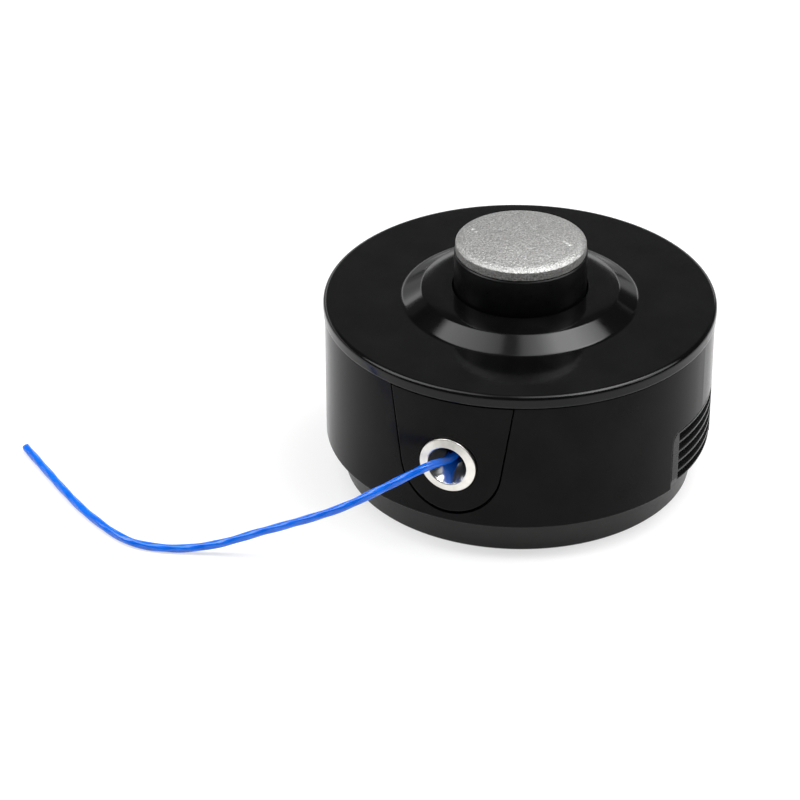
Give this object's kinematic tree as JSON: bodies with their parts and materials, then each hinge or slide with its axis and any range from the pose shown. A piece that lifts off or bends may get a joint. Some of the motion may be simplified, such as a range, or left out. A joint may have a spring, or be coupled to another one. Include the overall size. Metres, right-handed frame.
{
  "type": "trimmer head",
  "caption": "Round tap-and-go trimmer head with a metal-capped bump knob, ribbed release latches, metal line eyelets and a length of blue line.",
  "frame": {"origin": "on the drive axis in the plane the base rests on", "axes": "+Z along the drive axis towards the bump knob, -Y out of the front eyelet that the free line leaves by, +X and -X out of the release latches"},
  "size_m": [0.1891, 0.1421, 0.0725],
  "materials": {
    "cover_plastic": "black moulded nylon, glossy and near mirror-flat",
    "housing_plastic": "black moulded nylon, glossy",
    "base_plastic": "black moulded nylon, half gloss",
    "knob_plastic": "black moulded nylon, satin",
    "latch_plastic": "black moulded plastic, satin, ribbed",
    "spool_plastic": "dark moulded nylon, matt",
    "cap_metal": "cast metal, blasted grey, light graining and small knocks",
    "eyelet_metal": "turned metal, polished funnel and satin flange",
    "plated_steel": "zinc plated, satin",
    "spring_steel": "plain drawn wire",
    "trimmer_line": "bright blue nylon line, slightly translucent, twisted section"
  },
  "bodies": {
    "head": {"base": "base_plastic", "arbor_insert": "plated_steel", "hub_bush": "plated_steel", "spring_seat": "plated_steel", "main_spring": "spring_steel", "housing": "housing_plastic", "eyelet_carrier_front": "housing_plastic", "eyelet_carrier_rear": "housing_plastic", "eyelet_front": "eyelet_metal", "eyelet_rear": "eyelet_metal", "cover": "cover_plastic", "free_line": "trimmer_line"},
    "spring_washer": {"thrust_washer": "plated_steel"},
    "spool_and_knob": {"spool": "spool_plastic", "winding_lower": "trimmer_line", "winding_upper": "trimmer_line", "bump_knob": "knob_plastic", "knob_cap": "cap_metal", "cap_screw": "plated_steel", "cap_washer": "plated_steel"},
    "right_latch": {"latch_right": "latch_plastic"},
    "left_latch": {"latch_left": "latch_plastic"}
  },
  "joints": [
    {"name": "knob_bump", "type": "slide", "parent": "head", "child": "spring_washer", "axis": [0, 0, 1], "range_m": [-0.007, 0], "stiffness_N_per_m": 1500, "springref_m": 0.008, "deforming": ["main_spring"]},
    {"name": "spool_index", "type": "hinge", "parent": "spring_washer", "child": "spool_and_knob", "pos_m": [0, 0, 0.0367], "axis": [0, 0, 1], "range_deg": [0, 30.2]},
    {"name": "latch_press_right", "type": "hinge", "parent": "head", "child": "right_latch", "pos_m": [0.0472, 0, 0.0264], "axis": [0, 1, 0], "range_deg": [0, 7], "stiffness_Nm_per_rad": 0.8, "springref_deg": -2.86},
    {"name": "latch_press_left", "type": "hinge", "parent": "head", "child": "left_latch", "pos_m": [-0.0472, 0, 0.0264], "axis": [0, -1, 0], "range_deg": [0, 7], "stiffness_Nm_per_rad": 0.8, "springref_deg": -2.86}
  ],
  "couplings": [
    {"joint": "spool_index", "follows": "knob_bump", "rad_per_m": -74.7}
  ]
}
